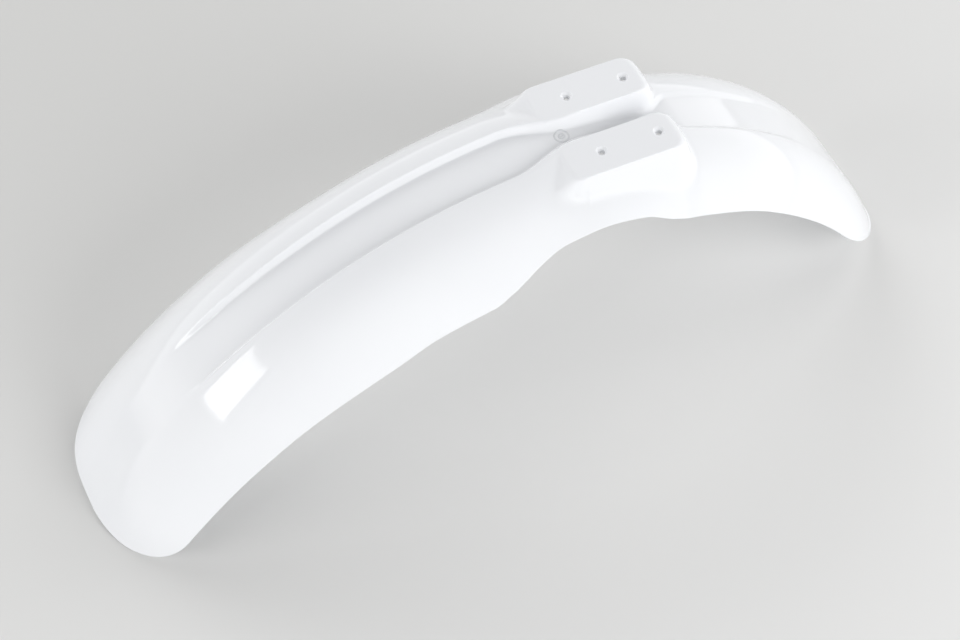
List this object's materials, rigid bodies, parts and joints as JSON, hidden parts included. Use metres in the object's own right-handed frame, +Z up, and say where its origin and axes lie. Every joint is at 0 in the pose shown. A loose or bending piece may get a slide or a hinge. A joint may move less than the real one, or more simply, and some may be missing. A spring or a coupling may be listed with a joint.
{
  "type": "front mudguard",
  "caption": "Front mudguard for an off-road motorcycle: a long arched blade with a waist, a middle channel and two raised mounting pads.",
  "frame": {"origin": "middle of the four fixing holes, in the top plane of the two mounting pads", "axes": "+X forward along the blade, +Y to the rider's left, +Z up and square to the mounting pads"},
  "size_m": [0.7883, 0.2058, 0.277],
  "materials": {
    "shell": "glossy white, injection moulded"
  },
  "bodies": {
    "root": {"mudguard": "shell"}
  },
  "joints": []
}
